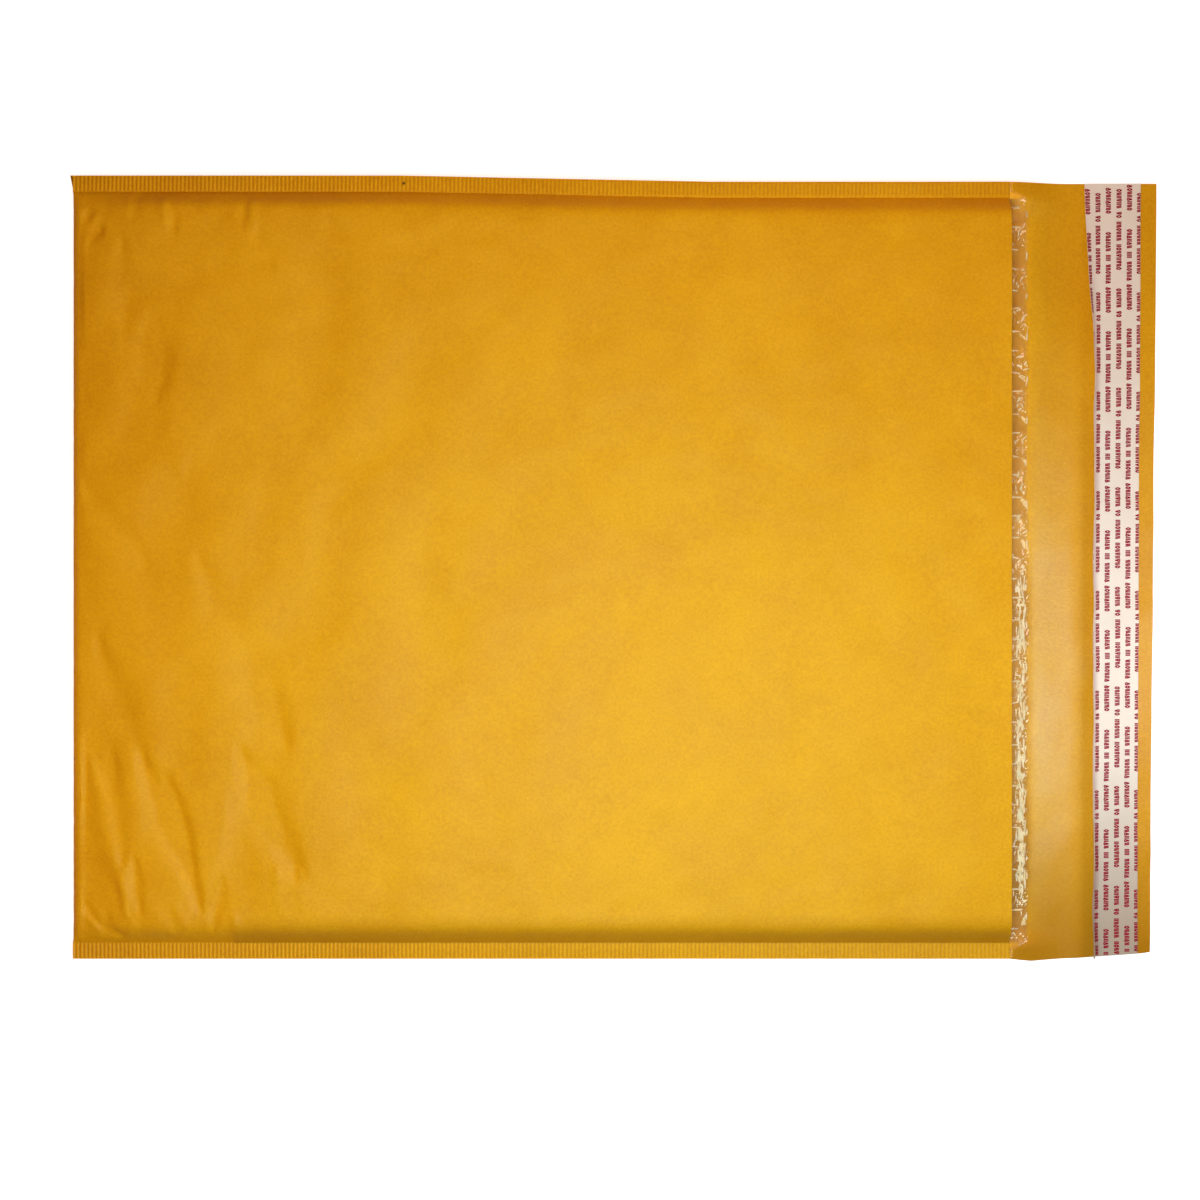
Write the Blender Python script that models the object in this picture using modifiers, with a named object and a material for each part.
"""A self-sealing kraft bubble mailer, lying open on its back panel.

One sheet of kraft paper is folded at the closed end into a front and a back panel, and the back
panel runs on past the mouth as the sealing flap. Both sides are crimped into ribbed seams. Inside,
one web of bubble film is folded the same way and sticks out of the mouth a little. The flap carries
a strip of glue under a peel-off release paper.

Metres, +Z up, +X from the fold towards the flap, origin under the middle of the mailer.
"""

import math

import bmesh
import bpy
import numpy as np
from mathutils import Vector

# Outline of the mailer as it lies
SEAM_TO_SEAM = 0.362  # at the folded end
BODY_LENGTH = 0.432  # from the fold to the lip of the front panel
FLAP_LENGTH = 0.070  # along the paper, from the lip to the flap's free edge
FLAP_SKEW = 0.0028  # the flap is cut this much shorter at its low side
DRAW_IN = 0.0028  # the high seam is drawn in this much at the mouth
DRAW_IN_FROM = 0.35  # share of the body where the seam starts to come in
DRAW_IN_TO = 0.68
FLAP_BULGE = 0.0014  # the flap stands out past the low seam
FLAP_BULGE_AT = 0.011
FLAP_TAPER = 0.0037  # and comes back in by this much at its free edge

# Paper and its crimped seams
PAPER = 0.0002
SEAM_WIDTH = 0.0075
SEAM_THICKNESS = 0.0007
SEAM_HEIGHT = 0.0062  # middle of the seam above the floor
PLY_HEIGHT = 0.00022  # outer face of either panel, from the seam's middle
PLY_TUCK = 0.001  # how far the panels reach into the seam
FLAP_TUCK = 0.002
WING_INSET = 0.0004  # the flap's side edges start this far inside the seams' outer edges
SEAM_OVERRUN = 0.0004  # the seams run on past the fold and the lip
RIB_PITCH = 0.00186
RIB_RISE = 0.0001

# How the empty mailer puffs up
PLATEAU = 0.0142  # top of the front panel
FOLD_HEIGHT = 0.0104  # thickness at the folded end
FOLD_SLOPE = 0.045  # length over which the panel rises from the fold
SIDE_SLOPE = 0.014  # width of the rounded slope beside a seam
SIDE_ROUNDNESS = 2.2

# The flap lies level past the film, springs up, bends over at the release paper and comes down
FLAP_LEVEL = 0.009
SPRING_ANGLE = math.radians(11)
SPRING_START = 0.014
SPRING_END = 0.028
CREST_AT = 0.037
LYING_ANGLE = math.radians(1)  # at the high side the flap lies nearly flat
LYING_WIDTH = 0.140  # width over which the arch dies out towards the high side
TIP_HEIGHT = 0.0006
EDGE_FADE = 0.028  # the raised seam ends run out along the flap

# Bubble film
BUBBLE_HEIGHT = 0.0038
FILM_CLEARANCE = 0.0006  # from the outer face of the paper to the film
FILM_EDGE = 0.002  # the film's side edges stop this far inside the seams
FILM_PROUD = 0.0085  # how far the film sticks out of the mouth
CRUSH = 0.8  # share of the room under the paper that squeezed film fills

# Glue and release paper on the flap
GLUE_THICKNESS = 0.00012
GLUE_INSET = 0.0015  # from the curled margin, and from the far edge, to the glue
GLUE_END = 0.004  # the glue stops this far inside the flap's side edges
RELEASE_AT = 0.037
RELEASE_WIDTH = 0.026
RELEASE_THICKNESS = 0.0001
STRIP_GAP = 0.0003
CURL_WIDTH = 0.008  # the margin of the release paper that isn't glued curls up
CURL_RISE = 0.005
CURL_IN = 0.003
CURL_GROWS = 0.090  # width over which the curl grows from the high side

# Mesh density
SLOPE_STEPS = 4
PANEL_COLUMNS = 8
FILM_FOLD_STEPS = 8
SAME_PLANE = math.radians(0.3)  # faces that meet flatter than this are one face
FLAP_WALK_STEPS = 72
FALL_CORRECTIONS = 12

HALF_WIDTH = (SEAM_TO_SEAM + FLAP_BULGE) / 2


def ease(t):
    """0 to 1 with level ends."""
    t = min(1.0, max(0.0, t))
    return t * t * (3 - 2 * t)


def rounded(t):
    """0 to 1, steep at the seam and level at the panel."""
    t = min(1.0, max(0.0, t))
    return 1 - (1 - t) ** SIDE_ROUNDNESS


def from_high_side(across):
    """Distance from the high side, for a place from 0 at the low side to 1 at the high one."""
    return (1 - across) * SEAM_TO_SEAM


def flap_walk(across):
    """Distances along the flap, with the level reach and the height at each, from the lip.

    The slope goes from level to the spring angle and over the crest to the fall. The fall is
    corrected until the free edge comes down to its height.
    """
    arch = ease(from_high_side(across) / LYING_WIDTH)
    spring = LYING_ANGLE + (SPRING_ANGLE - LYING_ANGLE) * arch
    bends = (FLAP_LEVEL, SPRING_START, SPRING_END, CREST_AT)
    along = np.linspace(0.0, FLAP_LENGTH, FLAP_WALK_STEPS + 1)
    halfway = (along[1:] + along[:-1]) / 2
    step = FLAP_LENGTH / FLAP_WALK_STEPS
    fall = 0.0
    for _ in range(FALL_CORRECTIONS):
        slope = np.interp(halfway, bends, (0.0, spring, spring, fall))
        reach = np.concatenate(([0.0], np.cumsum(step * np.cos(slope))))
        height = np.concatenate(([0.0], np.cumsum(step * np.sin(slope))))
        fall += (TIP_HEIGHT - height[-1]) / (FLAP_LENGTH - CREST_AT)
    return along, reach, height


def flap_point(s, across):
    """Reach past the lip and height of the flap's outer face."""
    along, reach, height = flap_walk(across)
    return np.interp(s, along, reach), np.interp(s, along, height)


FLAP_REACH = flap_walk(1.0)[1][-1]
FOLD_X = -(BODY_LENGTH + FLAP_REACH - SEAM_OVERRUN) / 2
LIP_X = FOLD_X + BODY_LENGTH


def body_sides(run):
    """Low and high outer edges at a distance run from the fold."""
    drawn = np.interp(run / BODY_LENGTH, (DRAW_IN_FROM, DRAW_IN_TO), (0.0, DRAW_IN))
    return -HALF_WIDTH + FLAP_BULGE, HALF_WIDTH - drawn


def flap_sides(s):
    """Low and high outer edges at a distance s along the flap."""
    low, high = body_sides(BODY_LENGTH)
    ends = (0.0, FLAP_BULGE_AT, FLAP_LENGTH)
    bulge = np.interp(s, ends, (0.0, -FLAP_BULGE, FLAP_TAPER - FLAP_BULGE))
    return low + bulge, high


def columns(outermost):
    """Places across a panel as (side, distance inside the seam), with 0 to 1 for the middle ones."""
    slope = [SIDE_SLOPE * k / SLOPE_STEPS for k in range(1, SLOPE_STEPS + 1)]
    edge = outermost + slope
    middle = [("middle", k / PANEL_COLUMNS) for k in range(1, PANEL_COLUMNS)]
    return [("low", d) for d in edge] + middle + [("high", d) for d in reversed(edge)]


def place_across(column, sides):
    """The y of a column, and its distance inside the nearer seam."""
    side, value = column
    low = sides[0] + SEAM_WIDTH
    high = sides[1] - SEAM_WIDTH
    if side == "low":
        return low + value, value
    if side == "high":
        return high - value, value
    start = low + SIDE_SLOPE
    return start + (high - SIDE_SLOPE - start) * value, SIDE_SLOPE


def front_height(run, inside):
    top = FOLD_HEIGHT + (PLATEAU - FOLD_HEIGHT) * math.sin(math.pi / 2 * min(1.0, run / FOLD_SLOPE))
    seam = SEAM_HEIGHT + PLY_HEIGHT
    return seam + (top - seam) * rounded(inside / SIDE_SLOPE)


def back_height(inside):
    seam = SEAM_HEIGHT - PLY_HEIGHT
    return seam * (1 - rounded(inside / SIDE_SLOPE))


def panel_point(zone, value, column, inset):
    """A point of the folded web, inset from the outer face of the paper.

    The web runs down the front panel, round the fold, back along the back panel and out along the
    flap. value is the distance from the fold on a panel, the angle round the fold, or the distance
    along the flap.
    """
    if zone == "flap":
        low, high = flap_sides(value)
        y, inside = place_across(column, (low, high))
        across = (y - low) / (high - low)
        if value == FLAP_LENGTH:
            value -= FLAP_SKEW * (1 - across)
        reach, height = flap_point(value, across)
        raised = back_height(inside)
        return Vector((LIP_X + reach, y, height + raised * (1 - ease(value / EDGE_FADE)) + inset))
    run = 0.0 if zone == "fold" else value
    y, inside = place_across(column, body_sides(run))
    half = (front_height(0.0, inside) - back_height(inside)) / 2
    if zone == "fold":
        middle = back_height(inside) + half
        radius = half - inset
        return Vector(
            (FOLD_X + half - radius * math.cos(value), y, middle + radius * math.sin(value))
        )
    x = FOLD_X + half + (1 - half / BODY_LENGTH) * run
    if zone == "front":
        return Vector((x, y, front_height(run, inside) - inset))
    return Vector((x, y, back_height(inside) + inset))


def body_runs():
    """Distances from the fold where the panels have a row of points, nearest first."""
    near = [FOLD_SLOPE * share for share in (0.12, 0.3, 0.6, 1.0)]
    return near + [BODY_LENGTH * share for share in (DRAW_IN_FROM, DRAW_IN_TO, 1.0)]


def fold_angles():
    """Angles round the fold, from the front panel to the back panel."""
    return list(np.linspace(math.pi / 2, -math.pi / 2, FILM_FOLD_STEPS + 1))


def flap_stations():
    """Distances along the flap where it has a row of points."""
    rise = [FILM_PROUD, SPRING_START, SPRING_END, (SPRING_END + CREST_AT) / 2]
    return sorted(rise + release_stations() + [FLAP_LENGTH])


def glue_stations():
    """Distances along the flap of the glue's two long edges."""
    low = RELEASE_AT + CURL_WIDTH + GLUE_INSET
    return [low, RELEASE_AT + RELEASE_WIDTH - GLUE_INSET]


def release_stations():
    """Distances along the flap where the release paper has a row of points."""
    curl = [RELEASE_AT + CURL_WIDTH * share for share in (0.0, 0.33, 0.66, 1.0)]
    return curl + glue_stations() + [RELEASE_AT + RELEASE_WIDTH]


def web_object(name, rows, cols, place, keep=lambda row, col: True, share=lambda row, column: 1.0):
    """A sheet object made from a flat grid, each point of which is put in its place.

    keep says which cells of the grid stay, and share how much of the full wall a point gets.
    """
    mesh = bmesh.new()
    bmesh.ops.create_grid(mesh, x_segments=len(rows) - 1, y_segments=len(cols) - 1, size=1)
    walls = mesh.verts.layers.deform.verify()
    spots = {}
    for vert in mesh.verts:
        row = round((vert.co.x + 1) / 2 * (len(rows) - 1))
        col = round((vert.co.y + 1) / 2 * (len(cols) - 1))
        spots[vert] = (row, col)
        vert.co = place(rows[row], cols[col])
        vert[walls][0] = share(rows[row], cols[col])
    dropped = []
    for face in mesh.faces:
        row = min(spots[vert][0] for vert in face.verts)
        col = min(spots[vert][1] for vert in face.verts)
        if not keep(row, col):
            dropped.append(face)
    bmesh.ops.delete(mesh, geom=dropped, context="FACES")
    data = bpy.data.meshes.new(name)
    mesh.to_mesh(data)
    mesh.free()
    sheet = bpy.data.objects.new(name, data)
    sheet.vertex_groups.new(name="wall_share")
    return sheet


def thicken(sheet, thickness, offset):
    """Gives a sheet its wall, on its inner side for an offset of 1 and on both sides for 0."""
    solid = sheet.modifiers.new("wall", "SOLIDIFY")
    solid.thickness = thickness
    solid.offset = offset
    solid.use_even_offset = True
    solid.vertex_group = "wall_share"
    return sheet


def material(name, colour, roughness, alpha=1.0):
    made = bpy.data.materials.new(name)
    made.use_nodes = True
    shader = made.node_tree.nodes["Principled BSDF"]
    shader.inputs["Base Color"].default_value = (*colour, 1.0)
    shader.inputs["Roughness"].default_value = roughness
    shader.inputs["Metallic"].default_value = 0.0
    shader.inputs["Alpha"].default_value = alpha
    return made


def crimped_seam(name, high_side):
    """One ribbed side seam, a strip of zigzag ribs across its width, from the fold to the lip."""
    count = 2 * round(BODY_LENGTH / RIB_PITCH)
    rows = list(np.linspace(-SEAM_OVERRUN, BODY_LENGTH + SEAM_OVERRUN, count + 1))
    rise = {run: RIB_RISE * (1 if k % 2 else -1) for k, run in enumerate(rows)}

    def place(run, share):
        low, high = body_sides(run)
        y = high - SEAM_WIDTH * (1 - share) if high_side else low + SEAM_WIDTH * share
        return Vector((FOLD_X + run, y, SEAM_HEIGHT + rise[run]))

    seam = thicken(web_object(name, rows, [0.0, 1.0], place), SEAM_THICKNESS, 0.0)
    plain_ends = seam.modifiers.new("plain ends", "DECIMATE")
    plain_ends.decimate_type = "DISSOLVE"
    plain_ends.angle_limit = SAME_PLANE
    return seam


def kraft_envelope(helpers):
    """The folded paper with both crimped seams and the flap."""
    fronts = [("front", run) for run in reversed(body_runs())]
    folds = [("fold", angle) for angle in fold_angles()]
    backs = [("back", run) for run in body_runs()]
    backs.insert(-1, ("back", BODY_LENGTH - FLAP_TUCK))
    flaps = [("flap", s) for s in flap_stations()]
    rows = fronts + folds + backs + flaps
    cols = columns([WING_INSET - SEAM_WIDTH, -PLY_TUCK, 0.0])
    wing_row = rows.index(("back", BODY_LENGTH - FLAP_TUCK))

    def place(row, column):
        zone, value = row
        return panel_point(zone, value, column, 0.0)

    def keep(row, col):
        wing = col == 0 or col == len(cols) - 2
        return not wing or row >= wing_row

    paper = thicken(web_object("kraft_envelope", rows, cols, place, keep), PAPER, 1)
    for name, high_side in (("low_seam", False), ("high_seam", True)):
        seam = crimped_seam(name, high_side)
        seam.hide_render = True
        seam.display_type = "WIRE"
        helpers.objects.link(seam)
        joined = paper.modifiers.new(name, "BOOLEAN")
        joined.operation = "UNION"
        joined.object = seam
    return paper


def bubble_liner():
    """The folded bubble film as a slab as thick as its bubbles, squeezed thin where the paper closes."""
    proud = [("proud", FILM_PROUD)]
    fronts = [("front", run) for run in reversed(body_runs())]
    folds = [("fold", angle) for angle in fold_angles()]
    backs = [("back", run) for run in body_runs()]
    flaps = [("flap", s) for s in flap_stations() if s <= FILM_PROUD]
    rows = proud + fronts + folds + backs + flaps
    cols = columns([FILM_EDGE])

    def place(row, column):
        zone, value = row
        if zone == "proud":
            lip = panel_point("front", BODY_LENGTH, column, FILM_CLEARANCE)
            return lip + Vector((value, 0, 0))
        return panel_point(zone, value, column, FILM_CLEARANCE)

    film = web_object("bubble_liner", rows, cols, place, share=film_share)
    return thicken(film, BUBBLE_HEIGHT, 1)


def film_share(row, column):
    """The film's thickness at a point, as a share of the bubble height."""
    zone, value = row
    run = {"front": value, "back": value, "fold": 0.0}.get(zone, BODY_LENGTH)
    _, inside = place_across(column, body_sides(run))
    room = (front_height(run, inside) - back_height(inside)) / 2 - FILM_CLEARANCE
    return min(1.0, CRUSH * room / BUBBLE_HEIGHT)


def curled(s, across):
    """How far the release paper's free margin comes in and up, at a distance s along the flap."""
    bend = max(0.0, 1 - (s - RELEASE_AT) / CURL_WIDTH) ** 2
    grown = bend * ease(from_high_side(across) / CURL_GROWS)
    return Vector((CURL_IN * grown, 0, CURL_RISE * grown))


def flap_strip(name, stations, end_inset, thickness, lift, curls):
    """A strip along the flap, lying on its inner face."""
    cols = columns([-SEAM_WIDTH + end_inset, -PLY_TUCK, 0.0])

    def place(s, column):
        point = panel_point("flap", s, column, PAPER + lift)
        return point + curled(s, point.y / SEAM_TO_SEAM + 0.5) if curls else point

    return thicken(web_object(name, stations, cols, place), thickness, 1)


def build():
    for obj in list(bpy.data.objects):
        bpy.data.objects.remove(obj)
    parts = bpy.data.collections.new("bubble_mailer")
    helpers = bpy.data.collections.new("seam_helpers")
    bpy.context.scene.collection.children.link(parts)
    bpy.context.scene.collection.children.link(helpers)

    over_glue = 2 * STRIP_GAP + GLUE_THICKNESS
    glue = flap_strip(
        "adhesive_strip", glue_stations(), GLUE_END, GLUE_THICKNESS, STRIP_GAP, curls=False
    )
    release = flap_strip(
        "release_liner", release_stations(), 0.0, RELEASE_THICKNESS, over_glue, curls=True
    )
    pieces = [
        (kraft_envelope(helpers), material("kraft", (0.72, 0.36, 0.03), 0.5)),
        (bubble_liner(), material("clear_film", (0.85, 0.8, 0.7), 0.15, 0.4)),
        (glue, material("glue", (0.8, 0.72, 0.5), 0.35)),
        (release, material("release_paper", (0.8, 0.74, 0.7), 0.45)),
    ]
    for obj, surface in pieces:
        obj.data.materials.append(surface)
        parts.objects.link(obj)


build()
